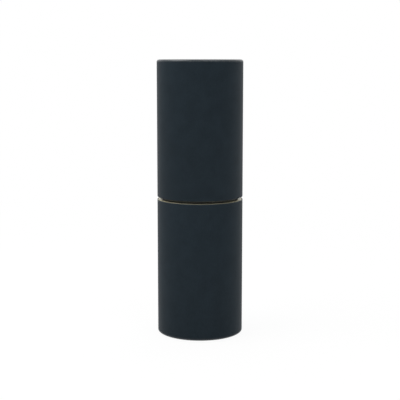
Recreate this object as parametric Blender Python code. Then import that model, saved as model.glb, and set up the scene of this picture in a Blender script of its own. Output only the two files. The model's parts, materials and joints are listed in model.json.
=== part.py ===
"""Twist-up paper lip balm tube, closed and standing on its base.

Lengths are in metres. The tube's axis is +Z and the origin is the centre of the face that it stands on.
Radii add up from the balm stick outwards. Heights add up from the base's closed end, through the plug,
the cup and the balm's travel, to the cap's top. Each piece is made with its own foot at height zero and
is then stood in place under the empty of the body that it moves with.
"""

import math

import bmesh
import bpy
from mathutils import Matrix

# Balm stick and its travel
BALM_DIAMETER = 0.0121
BALM_TIP_DEPTH = 0.0012
BALM_DOME_HEIGHT = 0.0032
BALM_LIFT = 0.0220
TIP_HEADROOM = 0.00065

# Cup that carries the balm
CUP_WALL = 0.00055
CUP_FLOOR = 0.0009
CUP_HEIGHT = 0.0090
CUP_RIM_DEPTH = 0.0012
LUG_DIAMETER = 0.0016
LUG_CENTRE_RISE = 0.0013
LUG_CHAMFER = 0.0002

# Drive sleeve, fixed in the base, whose straight slots keep the cup from turning
DRIVE_WALL = 0.0007
DRIVE_FLANGE_THICKNESS = 0.0012
BEAD_ROOT = 0.0010
BEAD_CREST = 0.0004
BEAD_PROUD = 0.00025
BEAD_RISE = 0.0012

# Lift cam, which turns with the neck
GROOVE_DEPTH = 0.0007
GROOVE_BACK_WALL = 0.0004
GROOVE_LEAD = 0.0160
CAM_SKIRT = 0.0025
LIP_THICKNESS = 0.0008
LIP_ROUND = 0.00025
LIP_INSET = 0.00015

# Plug glued into the foot of the base
PLUG_WALL = 0.0010
PLUG_WEB = 0.0012
PLUG_FOOT = 0.0017
PLUG_SKIRT_ABOVE_WEB = 0.0026
PLUG_BOSS_RISE = 0.00845

# Board tubes, discs and papers
NECK_WALL = 0.0009
NECK_RISE = 0.0121
BOARD_WALL = 0.0009
LINER_WALL = 0.0008
RIM_CHAMFER = 0.00012
DISC_THICKNESS = 0.0012
WRAP_THICKNESS = 0.0002
WRAP_INNER_FOLD = 0.0002
TURN_IN_PAST_DISC = 0.0003
FACING_THICKNESS = 0.00015
FACING_RECESS = 0.0005
SEAM_GAP = 0.00065

# Clearances
POUR_GAP = 0.00005
SLIDE_GAP = 0.0001
GLUE_GAP = 0.0001
RUNNING_GAP = 0.00015
AXIAL_GAP = 0.00015
CUP_REST_GAP = 0.0003
LUG_SIDE_GAP = 0.00015
LUG_TIP_GAP = 0.00015

# One overrun serves every cutter, and one distance welds points that meet on the axis
OVERRUN = 0.0005
WELD_DISTANCE = 0.000001

# Counts
ROUND_SEGMENTS = 48
FOLD_STEPS = 3
DOME_STEPS = 8
LUG_SIDES = 16
SLOT_END_STEPS = 6
GROOVE_COUNT = 2

# Radii, from the balm outwards
BALM_RADIUS = BALM_DIAMETER / 2
CUP_INNER = BALM_RADIUS + POUR_GAP
CUP_OUTER = CUP_INNER + CUP_WALL
DRIVE_INNER = CUP_OUTER + SLIDE_GAP
DRIVE_OUTER = DRIVE_INNER + DRIVE_WALL
CAM_INNER = DRIVE_OUTER + SLIDE_GAP
GROOVE_RADIUS = CAM_INNER + GROOVE_DEPTH
CAM_OUTER = GROOVE_RADIUS + GROOVE_BACK_WALL
LUG_RADIUS = LUG_DIAMETER / 2
LUG_TIP = GROOVE_RADIUS - LUG_TIP_GAP
NECK_INNER = CAM_OUTER + GLUE_GAP
NECK_OUTER = NECK_INNER + NECK_WALL
BOARD_INNER = NECK_OUTER + RUNNING_GAP
BOARD_OUTER = BOARD_INNER + BOARD_WALL
GLUED_INSIDE = BOARD_INNER - GLUE_GAP
TURN_IN_INNER = GLUED_INSIDE - WRAP_THICKNESS
DISC_RADIUS = TURN_IN_INNER - GLUE_GAP
WRAP_INNER = BOARD_OUTER + GLUE_GAP
WRAP_OUTER = WRAP_INNER + WRAP_THICKNESS

# Heights, from the table up
RIM_SKIN = WRAP_THICKNESS + GLUE_GAP
DISC_DEPTH = FACING_RECESS + FACING_THICKNESS + GLUE_GAP
END_DEPTH = DISC_DEPTH + DISC_THICKNESS
TURN_IN_DEPTH = END_DEPTH + TURN_IN_PAST_DISC
PLUG_BOTTOM = TURN_IN_DEPTH + GLUE_GAP
PLUG_WEB_TOP = PLUG_BOTTOM + PLUG_FOOT + PLUG_WEB
DRIVE_BOTTOM = PLUG_WEB_TOP + GLUE_GAP
CUP_BOTTOM = PLUG_WEB_TOP + PLUG_BOSS_RISE + CUP_REST_GAP
LUG_CENTRE = CUP_BOTTOM + LUG_CENTRE_RISE
CAM_BOTTOM = CUP_BOTTOM - CAM_SKIRT
LIP_BOTTOM = CUP_BOTTOM + CUP_HEIGHT + BALM_LIFT + CUP_RIM_DEPTH
NECK_TOP = LIP_BOTTOM + LIP_THICKNESS
DRIVE_TOP = LIP_BOTTOM - AXIAL_GAP
BASE_RIM = NECK_TOP - NECK_RISE
CAP_RIM = BASE_RIM + SEAM_GAP
BALM_BOTTOM = CUP_BOTTOM + CUP_FLOOR + POUR_GAP
BALM_TIP = NECK_TOP - BALM_TIP_DEPTH
CAP_CEILING = BALM_TIP + BALM_LIFT + TIP_HEADROOM
CAP_TOP = CAP_CEILING + END_DEPTH
LINER_FOOT = NECK_TOP + GLUE_GAP
LINER_TOP = CAP_TOP - TURN_IN_DEPTH - GLUE_GAP

QUARTER_TURN = math.pi / 2
HALF_TURN = math.pi
FULL_TURN = 2 * math.pi
SHARP_ANGLE = math.radians(30)


def paint(name, colour, roughness, metallic=0.0):
    """A plain Principled material."""
    material = bpy.data.materials.new(name)
    material.use_nodes = True
    shader = material.node_tree.nodes["Principled BSDF"]
    shader.inputs["Base Color"].default_value = (*colour, 1.0)
    shader.inputs["Roughness"].default_value = roughness
    shader.inputs["Metallic"].default_value = metallic
    return material


def finished(name, shape, material):
    """Puts a bmesh into a new object, with its round faces shaded smooth."""
    bmesh.ops.recalc_face_normals(shape, faces=shape.faces)
    mesh = bpy.data.meshes.new(name)
    shape.to_mesh(mesh)
    shape.free()
    mesh.materials.append(material)
    mesh.shade_smooth()
    mesh.set_sharp_from_angle(angle=SHARP_ANGLE)
    solid = bpy.data.objects.new(name, mesh)
    bpy.context.scene.collection.objects.link(solid)
    return solid


def turned(name, outline, material):
    """Spins an outline of (radius, height) points about Z. An outline that meets the axis ends there."""
    shape = bmesh.new()
    points = [shape.verts.new((radius, 0, height)) for radius, height in outline]
    edges = [shape.edges.new(pair) for pair in zip(points, points[1:])]
    if outline[0][0] > 0:
        edges.append(shape.edges.new((points[-1], points[0])))
    bmesh.ops.spin(
        shape,
        geom=points + edges,
        cent=(0, 0, 0),
        axis=(0, 0, 1),
        angle=FULL_TURN,
        steps=ROUND_SEGMENTS,
        use_merge=True,
    )
    bmesh.ops.remove_doubles(shape, verts=shape.verts, dist=WELD_DISTANCE)
    return finished(name, shape, material)


def arc(centre, radii, start, end, steps):
    """Points of an elliptical arc about a centre, from one angle in degrees to another."""
    angles = [math.radians(start + (end - start) * step / steps) for step in range(steps + 1)]
    return [(centre[0] + radii[0] * math.cos(turn), centre[1] + radii[1] * math.sin(turn)) for turn in angles]


def cut(solid, helper, operation="DIFFERENCE"):
    """Cuts a hidden helper out of a solid, or joins it on."""
    helper.hide_render = True
    helper.display_type = "WIRE"
    helper.parent = solid
    boolean = solid.modifiers.new(helper.name, "BOOLEAN")
    boolean.operation = operation
    boolean.object = helper
    boolean.solver = "EXACT"


def body(name):
    """An empty on the tube's axis that carries the pieces which move together."""
    empty = bpy.data.objects.new(name, None)
    bpy.context.scene.collection.objects.link(empty)
    return empty


def stand(solid, carrier, foot, upside_down=False):
    """Parents a piece to its body and puts its foot at a height above the table."""
    solid.parent = carrier
    solid.location.z = foot
    if upside_down:
        solid.rotation_euler.x = HALF_TURN


def wrap_sleeve(name, length, material):
    """Printed paper round a board tube, cut square at the mouth and turned over the other rim and down inside."""
    outer_fold = WRAP_INNER_FOLD + WRAP_THICKNESS
    outside = (WRAP_OUTER - outer_fold, length - outer_fold)
    inside = (TURN_IN_INNER + outer_fold, length - outer_fold)
    outline = [(WRAP_INNER, 0), (WRAP_OUTER, 0)]
    outline += arc(outside, (outer_fold, outer_fold), 0, 90, FOLD_STEPS)
    outline += arc(inside, (outer_fold, outer_fold), 90, 180, FOLD_STEPS)
    outline += [(TURN_IN_INNER, length - TURN_IN_DEPTH), (GLUED_INSIDE, length - TURN_IN_DEPTH)]
    outline += arc(inside, (WRAP_INNER_FOLD, WRAP_INNER_FOLD), 180, 90, FOLD_STEPS)
    outline += arc(outside, (WRAP_INNER_FOLD, WRAP_INNER_FOLD), 90, 0, FOLD_STEPS)
    return turned(name, outline, material)


def board_tube(name, length, material):
    """Wound board tube with an eased mouth, and the other rim's corners cut back under the wrap's folds."""
    outline = [
        (BOARD_INNER, RIM_CHAMFER),
        (BOARD_INNER + RIM_CHAMFER, 0),
        (BOARD_OUTER, 0),
        (BOARD_OUTER, length - WRAP_INNER_FOLD),
        (BOARD_OUTER - WRAP_INNER_FOLD, length),
        (BOARD_INNER + WRAP_INNER_FOLD, length),
        (BOARD_INNER, length - WRAP_INNER_FOLD),
    ]
    return turned(name, outline, material)


def disc(name, thickness, material):
    """Flat round piece that fits inside the wrap's turned-in edge."""
    return turned(name, [(0, 0), (DISC_RADIUS, 0), (DISC_RADIUS, thickness), (0, thickness)], material)


def cap_liner(material):
    """Short board tube glued inside the cap, whose foot lands on the neck's lip."""
    inner = GLUED_INSIDE - LINER_WALL
    length = LINER_TOP - LINER_FOOT
    outline = [
        (inner, RIM_CHAMFER),
        (inner + RIM_CHAMFER, 0),
        (GLUED_INSIDE, 0),
        (GLUED_INSIDE, length),
        (inner, length),
    ]
    return turned("cap_liner", outline, material)


def neck_sleeve(material):
    """Board tube glued round the cam. The cap slides on its upper part, and its lower part turns in the base."""
    length = LIP_BOTTOM - GLUE_GAP - CAM_BOTTOM
    outline = [
        (NECK_INNER, 0),
        (NECK_OUTER - RIM_CHAMFER, 0),
        (NECK_OUTER, RIM_CHAMFER),
        (NECK_OUTER, length - RIM_CHAMFER),
        (NECK_OUTER - RIM_CHAMFER, length),
        (NECK_INNER, length),
    ]
    return turned("neck_sleeve", outline, material)


def bead(foot, wall, side_gap, end_gap):
    """Outline of the snap bead from bottom to top or, given gaps, of the recess that it runs in."""
    middle = CAM_BOTTOM + BEAD_RISE - foot
    half_root = BEAD_ROOT / 2 + end_gap
    half_crest = BEAD_CREST / 2 + end_gap
    crest = DRIVE_OUTER + BEAD_PROUD + side_gap
    return [
        (wall, middle - half_root),
        (crest, middle - half_crest),
        (crest, middle + half_crest),
        (wall, middle + half_root),
    ]


def groove_cutter(name, lug_angle, material):
    """Cutter for one groove: a rectangle swept from below the cam, past the resting lug, to the raised one.

    The cup doesn't turn and the cam does, so a groove that lifts the lug as the neck turns
    anticlockwise, seen from above, climbs clockwise. Its corners fall midway between the cam's.
    """
    half_step = 0.5
    mean_radius = (CAM_INNER + GROOVE_RADIUS) / 2
    slope = GROOVE_LEAD / (FULL_TURN * mean_radius)
    lug_room = LUG_RADIUS + LUG_SIDE_GAP
    half_height = lug_room * math.hypot(1, slope)
    turn_step = FULL_TURN / ROUND_SEGMENTS
    rise_step = GROOVE_LEAD / ROUND_SEGMENTS
    rest = LUG_CENTRE - CAM_BOTTOM
    steps_below = math.ceil((rest + half_height + OVERRUN) / rise_step) + half_step
    steps_above = math.ceil(BALM_LIFT / rise_step + lug_room / mean_radius / turn_step) + half_step
    start = rest - steps_below * rise_step
    corners = [
        (CAM_INNER - OVERRUN, start - half_height),
        (GROOVE_RADIUS, start - half_height),
        (GROOVE_RADIUS, start + half_height),
        (CAM_INNER - OVERRUN, start + half_height),
    ]
    shape = bmesh.new()
    section = shape.faces.new([shape.verts.new((radius, 0, height)) for radius, height in corners])
    bmesh.ops.spin(
        shape,
        geom=[section],
        cent=(0, 0, 0),
        axis=(0, 0, -1),
        dvec=(0, 0, rise_step),
        angle=(steps_below + steps_above) * turn_step,
        steps=round(steps_below + steps_above),
    )
    cutter = finished(name, shape, material)
    cutter.rotation_euler.z = lug_angle + steps_below * turn_step
    return cutter


def lift_cam(material):
    """Moulded sleeve with helical grooves inside, a recess for the snap bead, and a rounded lip on top."""
    length = NECK_TOP - CAM_BOTTOM
    lip_foot = LIP_BOTTOM - CAM_BOTTOM
    lip_outer = NECK_OUTER - LIP_INSET
    rounding = (LIP_ROUND, LIP_ROUND)
    outline = [(CAM_INNER, 0), (CAM_OUTER, 0), (CAM_OUTER, lip_foot), (lip_outer, lip_foot)]
    outline += arc((lip_outer - LIP_ROUND, length - LIP_ROUND), rounding, 0, 90, FOLD_STEPS)
    outline += arc((DRIVE_INNER + LIP_ROUND, length - LIP_ROUND), rounding, 90, 180, FOLD_STEPS)
    outline += [(DRIVE_INNER, lip_foot), (CAM_INNER, lip_foot)]
    outline += reversed(bead(CAM_BOTTOM, CAM_INNER, SLIDE_GAP, AXIAL_GAP))
    cam = turned("lift_cam", outline, material)
    for index in range(GROOVE_COUNT):
        cut(cam, groove_cutter(f"groove_cutter_{index + 1}", index * FULL_TURN / GROOVE_COUNT, material))
    return cam


def slot_cutter(name, lug_angle, material):
    """Cutter for one straight slot: a long shape with round ends, pushed out through the sleeve's wall."""
    half_width = LUG_RADIUS + LUG_SIDE_GAP
    lowest = LUG_CENTRE - DRIVE_BOTTOM
    outline = arc((0, lowest + BALM_LIFT), (half_width, half_width), 0, 180, SLOT_END_STEPS)
    outline += arc((0, lowest), (half_width, half_width), 180, 360, SLOT_END_STEPS)
    shape = bmesh.new()
    end = shape.faces.new([shape.verts.new((CUP_INNER, across, height)) for across, height in outline])
    grown = bmesh.ops.extrude_face_region(shape, geom=[end])
    moved = [item for item in grown["geom"] if isinstance(item, bmesh.types.BMVert)]
    bmesh.ops.translate(shape, verts=moved, vec=(DRIVE_OUTER + OVERRUN - CUP_INNER, 0, 0))
    cutter = finished(name, shape, material)
    cutter.rotation_euler.z = lug_angle
    return cutter


def drive_sleeve(material):
    """Slotted sleeve fixed on the plug's boss, with a flange under the cam and a snap bead inside it."""
    length = DRIVE_TOP - DRIVE_BOTTOM
    flange_top = CAM_BOTTOM - AXIAL_GAP - DRIVE_BOTTOM
    flange_foot = flange_top - DRIVE_FLANGE_THICKNESS
    outline = [
        (DRIVE_INNER, 0),
        (DRIVE_OUTER, 0),
        (DRIVE_OUTER, flange_foot),
        (CAM_OUTER, flange_foot),
        (CAM_OUTER, flange_top),
        (DRIVE_OUTER, flange_top),
    ]
    outline += bead(DRIVE_BOTTOM, DRIVE_OUTER, 0, 0)
    outline += [(DRIVE_OUTER, length), (DRIVE_INNER, length)]
    sleeve = turned("drive_sleeve", outline, material)
    for index in range(GROOVE_COUNT):
        cut(sleeve, slot_cutter(f"slot_cutter_{index + 1}", index * FULL_TURN / GROOVE_COUNT, material))
    return sleeve


def base_plug(material):
    """Moulded plug: a skirt glued in the base's board tube, a web, and a boss that holds the drive sleeve."""
    skirt_inner = GLUED_INSIDE - PLUG_WALL
    boss_outer = DRIVE_INNER - GLUE_GAP
    boss_inner = boss_outer - PLUG_WALL
    web_top = PLUG_FOOT + PLUG_WEB
    boss_top = web_top + PLUG_BOSS_RISE
    skirt_top = web_top + PLUG_SKIRT_ABOVE_WEB
    outline = [
        (0, boss_top - PLUG_WALL),
        (boss_inner, boss_top - PLUG_WALL),
        (boss_inner, PLUG_FOOT),
        (skirt_inner, PLUG_FOOT),
        (skirt_inner, 0),
        (GLUED_INSIDE, 0),
        (GLUED_INSIDE, skirt_top),
        (skirt_inner, skirt_top),
        (skirt_inner, web_top),
        (boss_outer, web_top),
        (boss_outer, boss_top),
        (0, boss_top),
    ]
    return turned("base_plug", outline, material)


def cup_lug(name, angle, material):
    """Round lug that is joined to the cup's wall, with a chamfered tip."""
    root = CUP_OUTER - CUP_WALL / 2
    shape = bmesh.new()
    bmesh.ops.create_cone(
        shape,
        cap_ends=True,
        segments=LUG_SIDES,
        radius1=LUG_RADIUS,
        radius2=LUG_RADIUS,
        depth=LUG_TIP - root,
    )
    tip = [edge for edge in shape.edges if all(point.co.z > 0 for point in edge.verts)]
    bmesh.ops.bevel(
        shape,
        geom=tip,
        affect="EDGES",
        offset=LUG_CHAMFER,
        segments=1,
        profile=0.5,
        material=-1,
    )
    bmesh.ops.rotate(shape, verts=shape.verts, cent=(0, 0, 0), matrix=Matrix.Rotation(QUARTER_TURN, 3, "Y"))
    bmesh.ops.translate(shape, verts=shape.verts, vec=((root + LUG_TIP) / 2, 0, LUG_CENTRE_RISE))
    lug = finished(name, shape, material)
    lug.rotation_euler.z = angle
    return lug


def balm_cup(material):
    """Open cup that holds the foot of the balm. Its lugs pass through the slots into the grooves."""
    outline = [
        (0, 0),
        (CUP_OUTER, 0),
        (CUP_OUTER, CUP_HEIGHT),
        (CUP_INNER, CUP_HEIGHT),
        (CUP_INNER, CUP_FLOOR),
        (0, CUP_FLOOR),
    ]
    cup = turned("balm_cup", outline, material)
    for index in range(GROOVE_COUNT):
        lug = cup_lug(f"cup_lug_{index + 1}", index * FULL_TURN / GROOVE_COUNT, material)
        cut(cup, lug, "UNION")
    return cup


def lip_balm(material):
    """Stick of balm cast in the cup, with a domed tip."""
    length = BALM_TIP - BALM_BOTTOM
    shoulder = length - BALM_DOME_HEIGHT
    outline = [(0, 0), (BALM_RADIUS, 0)]
    outline += arc((0, shoulder), (BALM_RADIUS, BALM_DOME_HEIGHT), 0, 90, DOME_STEPS)
    outline[-1] = (0, length)
    return turned("lip_balm", outline, material)


def build_base(printed, board, moulding):
    """Lower shell with the fixed half of the mechanism. Its tube and papers are made mouth down."""
    base = body("base_body")
    stand(wrap_sleeve("base_wrap", BASE_RIM, printed), base, BASE_RIM, upside_down=True)
    stand(board_tube("base_tube", BASE_RIM - RIM_SKIN, board), base, BASE_RIM, upside_down=True)
    stand(disc("base_facing", FACING_THICKNESS, printed), base, FACING_RECESS)
    stand(disc("base_disc", DISC_THICKNESS, board), base, DISC_DEPTH)
    stand(base_plug(moulding), base, PLUG_BOTTOM)
    stand(drive_sleeve(moulding), base, DRIVE_BOTTOM)


def build_neck(dark_board, moulding):
    """Turning neck."""
    neck = body("neck_body")
    stand(lift_cam(moulding), neck, CAM_BOTTOM)
    stand(neck_sleeve(dark_board), neck, CAM_BOTTOM)


def build_carrier(moulding, wax):
    """Cup and balm, which rise and sink together."""
    carrier = body("carrier_body")
    stand(balm_cup(moulding), carrier, CUP_BOTTOM)
    stand(lip_balm(wax), carrier, BALM_BOTTOM)


def build_cap(printed, board):
    """Upper shell."""
    cap = body("cap_body")
    stand(wrap_sleeve("cap_wrap", CAP_TOP - CAP_RIM, printed), cap, CAP_RIM)
    stand(board_tube("cap_tube", CAP_TOP - RIM_SKIN - CAP_RIM, board), cap, CAP_RIM)
    stand(cap_liner(board), cap, LINER_FOOT)
    stand(disc("cap_disc", DISC_THICKNESS, board), cap, CAP_CEILING)
    stand(disc("cap_facing", FACING_THICKNESS, printed), cap, CAP_CEILING + DISC_THICKNESS + GLUE_GAP)


def main():
    for item in list(bpy.data.objects):
        bpy.data.objects.remove(item, do_unlink=True)
    printed = paint("printed_paper", (0.016, 0.022, 0.028), 0.62)
    board = paint("cream_board", (0.62, 0.56, 0.42), 0.85)
    dark_board = paint("dark_board", (0.02, 0.019, 0.018), 0.8)
    moulding = paint("white_moulding", (0.78, 0.77, 0.73), 0.38)
    wax = paint("balm_wax", (0.84, 0.76, 0.58), 0.42)
    build_base(printed, board, moulding)
    build_neck(dark_board, moulding)
    build_carrier(moulding, wax)
    build_cap(printed, board)


main()
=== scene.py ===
"""Paper lip balm tube: the fine shapes and finishes of its pieces, and the studio that they stand in.

Lengths are in metres. The tube's axis is +Z and the closed tube stands on the floor at height zero.
Radii and heights come from the frame's own pieces. The thin walls and small roundings that the frame
doesn't say are named below. Every piece is made where it belongs, so its object stays at the origin.
"""

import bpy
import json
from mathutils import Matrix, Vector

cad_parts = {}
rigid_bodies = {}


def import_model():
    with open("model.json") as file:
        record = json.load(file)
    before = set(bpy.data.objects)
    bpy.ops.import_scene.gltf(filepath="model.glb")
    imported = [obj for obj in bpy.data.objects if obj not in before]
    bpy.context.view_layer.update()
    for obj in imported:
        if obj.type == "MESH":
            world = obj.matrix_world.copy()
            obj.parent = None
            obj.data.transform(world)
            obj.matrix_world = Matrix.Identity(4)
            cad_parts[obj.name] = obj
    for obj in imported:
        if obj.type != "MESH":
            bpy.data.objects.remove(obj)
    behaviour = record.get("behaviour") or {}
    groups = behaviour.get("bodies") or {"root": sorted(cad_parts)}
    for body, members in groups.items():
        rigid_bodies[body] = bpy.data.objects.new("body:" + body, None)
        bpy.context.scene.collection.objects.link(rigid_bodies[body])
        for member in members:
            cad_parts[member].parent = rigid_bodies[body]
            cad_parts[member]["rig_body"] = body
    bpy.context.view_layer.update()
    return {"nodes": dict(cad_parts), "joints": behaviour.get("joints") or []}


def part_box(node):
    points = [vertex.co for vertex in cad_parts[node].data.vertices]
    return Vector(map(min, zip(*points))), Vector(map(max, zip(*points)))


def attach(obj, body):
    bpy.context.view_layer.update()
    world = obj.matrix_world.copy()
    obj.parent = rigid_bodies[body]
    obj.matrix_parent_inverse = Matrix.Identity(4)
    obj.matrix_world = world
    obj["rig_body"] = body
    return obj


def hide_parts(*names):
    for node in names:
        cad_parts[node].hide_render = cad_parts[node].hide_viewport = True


bl_info = {
    "name": "Paper Lip Balm Tube",
    "version": (1, 0, 0),
    "blender": (4, 5, 0),
    "location": "3D View > Sidebar > Balm Tube",
    "description": "Makes the papers, boards, mouldings and balm of a twist-up paper lip balm tube",
    "category": "Add Mesh",
}

import json
import math

import bmesh
import bpy
from bpy.props import FloatProperty, FloatVectorProperty, IntProperty, PointerProperty
from mathutils import Matrix, Vector

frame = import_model()


def foot(node):
    """Lowest height of a frame piece."""
    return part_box(node)[0].z


def top(node):
    """Highest height of a frame piece."""
    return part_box(node)[1].z


def reach(node):
    """Largest radius of a frame piece."""
    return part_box(node)[1].x


def bore(node):
    """Smallest radius of a frame piece that has a hole down its middle."""
    return min(corner.co.xy.length for corner in frame["nodes"][node].data.vertices)


# Radii that the frame gives, from the balm outwards
BALM_RADIUS = reach("lip_balm")
DRIVE_BORE = bore("lift_cam")
LUG_TIP = reach("balm_cup")
CAM_OUTER = reach("drive_sleeve")
NECK_BORE = bore("neck_sleeve")
LINER_BORE = bore("cap_liner")
DISC_RADIUS = reach("cap_disc")
LIP_RADIUS = reach("lift_cam")
TURN_IN_BORE = bore("cap_wrap")
NECK_OUTER = reach("neck_sleeve")
GLUED_INSIDE = reach("cap_liner")
BOARD_BORE = bore("cap_tube")
BOARD_OUTER = reach("cap_tube")
WRAP_OUTER = reach("cap_wrap")

# Heights that the frame gives
BASE_MOUTH = top("base_wrap")
CAP_MOUTH = foot("cap_wrap")
CAP_TOP = top("cap_wrap")
CAM_FOOT = foot("lift_cam")
NECK_TOP = top("lift_cam")
CUP_FOOT = foot("balm_cup")
CUP_TOP = top("balm_cup")
LIFT = next(joint["range_m"][1] for joint in frame["joints"] if joint["name"] == "carrier_lift")

# Gaps between pieces
GLUE_GAP = 0.0001
SLIDE_GAP = 0.0001
AXIAL_GAP = 0.00015
LUG_GAP = 0.00015

# Papers and boards
WRAP_BORE = BOARD_OUTER + GLUE_GAP
INNER_FOLD = 0.0002
OUTER_FOLD_ACROSS = 0.00059
OUTER_FOLD_DOWN = 0.00034
TURN_IN_DEPTH = 0.00225
MOUTH_EASE = 0.00014
BOARD_SET_BACK = 0.00005
BOARD_EASE = 0.00012
PLY_GROOVE_WIDTH = 0.00005
PLY_GROOVE_DEPTH = 0.00003
DISC_EASE = 0.00008
FACING_EASE = 0.00004
FACING_DISH = 0.00003
LAP_EDGE_WIDTH = 0.00002
# Where the folds and mouths are rubbed pale and glossy. The pale rubbing is partly a painted highlight.
RUB_FULL = 0.0003
RUB_END = 0.0008
MOUTH_RUB = 0.00035
BARE_EDGE = 0.000028
# Width of the pale edge at the base's mouth. It is bare cut paper, and also painted light on that
# upward-facing mouth, which is why it is wider than the cap's.
BARE_AND_PAINTED_LIGHT_BASE_EDGE = 0.00007

# Mouldings
CUP_WALL = 0.00055
CUP_FLOOR = 0.0009
LUG_RADIUS = 0.0008
LUG_RISE = 0.0013
LUG_CHAMFER = 0.0002
DRIVE_WALL = 0.0007
FLANGE_THICKNESS = 0.0012
GROOVE_DEPTH = 0.0007
GROOVE_LEAD = 0.0160
LIP_THICKNESS = 0.0008
LIP_ROUND = 0.00028
BEAD_ROOT = 0.0010
BEAD_CREST = 0.0004
BEAD_PROUD = 0.00025
BEAD_RISE = 0.0012
PLUG_WALL = 0.0010
PLUG_WEB = 0.0012
PLUG_FOOT = 0.0017
PLUG_SKIRT_ABOVE_WEB = 0.0026
SOFT_EDGE = 0.00012
OVERRUN = 0.0005

# What follows from those: the drive's outside, the cam's bore and the height of the lowered lugs
DRIVE_OUTER = DRIVE_BORE + DRIVE_WALL
CAM_BORE = DRIVE_OUTER + SLIDE_GAP
LOW_LUGS = CUP_FOOT + LUG_RISE

# Balm
DOME_HEIGHT = 0.0032
SINK_DEPTH = 0.00012
SINK_RADIUS = 0.0011

# How finely round shapes are cut up
ROUND_STEPS = 192
WRAP_STEPS = 360
GROOVE_STEPS = 96
FOLD_STEPS = 10
EDGE_STEPS = 3
FACING_RINGS = 6
DOME_STEPS = 26
LUG_SIDES = 40
SLOT_END_STEPS = 16

# Pleats in the turned-in paper: waves round the rim, and how their spacing wanders
PLEATS = 67
PLEAT_WANDERINGS = 5
PLEAT_WANDER = 1.9

# Shares of gloss, and of smoothness on the board's cut ends
RIM_GLOSS = 0.55
MOUTH_GLOSS = 0.2
CUT_END_GLOSS = 0.64
CUT_END_SMOOTHING = 0.85

# The balm's deeper shade, its bloom and its cooling rings
BALM_DEEPENING = (0.96, 0.93, 0.86)
BLOOM_COLOUR = (0.93, 0.89, 0.78)
RING_SPACING = 0.0009
RING_WANDER = 0.0006

# Lamps: the setting for their power, clockwise angle from the camera's side, elevation, distance and size
SOFTBOXES = {
    "left_softbox": ("left_power", -74, 50, 0.42, (0.32, 0.24)),
    "right_softbox": ("right_power", 30, 50, 0.42, (0.32, 0.24)),
    "top_softbox": ("top_power", 180, 62, 0.45, (0.40, 0.30)),
}

# Floor: its size, how much of it glows near the tube, and the distances between which that grows to all
FLOOR_RADIUS = 4.0
FLOOR_SIDES = 64
NEAR_GLOW = 0.92
FADE_START = 0.03
FADE_END = 0.25

# Camera, in millimetres and metres
SENSOR_WIDTH = 36.0
NEAREST_SEEN = 0.01

FULL_TURN = 2 * math.pi
QUARTER_TURN = math.pi / 2
SHARP_ANGLE = math.radians(32)
WELD = 0.000001


def colour_setting(name, description, default):
    """A colour that the panel can change."""
    return FloatVectorProperty(
        name=name,
        description=description,
        subtype="COLOR",
        size=3,
        min=0,
        max=1,
        default=default,
    )


def length_setting(name, description, default):
    """A length in metres that the panel can change."""
    return FloatProperty(
        name=name,
        description=description,
        subtype="DISTANCE",
        unit="LENGTH",
        precision=5,
        default=default,
    )


def angle_setting(name, description, degrees):
    """An angle that the panel can change."""
    return FloatProperty(name=name, description=description, subtype="ANGLE", default=math.radians(degrees))


def number_setting(name, description, default, lowest=0, highest=1):
    """A plain number that the panel can change."""
    return FloatProperty(name=name, description=description, min=lowest, max=highest, default=default)


class BalmTubePaper(bpy.types.PropertyGroup):
    """Printed paper."""

    colour: colour_setting("Print", "Colour of the matt print", (0.0142, 0.0222, 0.0290))
    # The core colour also paints part of the highlight on the rubbed folds and mouths, and the painted light
    # on the base's mouth edge.
    core_colour: colour_setting("Core", "Colour of the paper where cut or worn", (0.30, 0.29, 0.21))
    roughness: number_setting("Roughness", "How matt the print is", 0.52)
    thickness: length_setting("Thickness", "Thickness of one layer of paper", 0.00016)
    lap_width: length_setting("Lap Width", "How far the paper overlaps itself at the back", 0.0045)
    lap_climb: length_setting("Lap Climb", "How far the paper climbs onto its hidden edge", 0.0012)
    base_lap: angle_setting("Base Lap", "Where the lap's cut edge stands on the base", 82)
    cap_lap: angle_setting("Cap Lap", "Where the lap's cut edge stands on the cap", 94)
    pleat_depth: length_setting("Pleat Depth", "Depth of the pleats in the turned-in edge", 0.00005)


class BalmTubeBoard(bpy.types.PropertyGroup):
    """Wound board."""

    colour: colour_setting("Board", "Colour of the uncoated board", (0.74, 0.70, 0.50))
    dark_colour: colour_setting("Dark Board", "Colour of the neck's dyed board", (0.036, 0.037, 0.034))
    speck_colour: colour_setting("Fibre Specks", "Colour of the board's dark fibres", (0.30, 0.22, 0.12))
    plies: IntProperty(name="Plies", description="Layers of paper in a tube's wall", min=2, max=8, default=4)
    winding_pitch: length_setting("Winding Pitch", "Height that the outer ply climbs in one turn", 0.0275)


class BalmTubeMoulding(bpy.types.PropertyGroup):
    """Plastic mouldings."""

    colour: colour_setting("Moulding", "Colour of the natural plastic", (0.76, 0.75, 0.71))
    roughness: number_setting("Roughness", "How matt the plastic is", 0.36)


class BalmTubeWax(bpy.types.PropertyGroup):
    """Lip balm."""

    colour: colour_setting("Balm", "Colour of the balm", (0.82, 0.73, 0.53))
    roughness: number_setting("Roughness", "How matt the balm is", 0.42)


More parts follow.
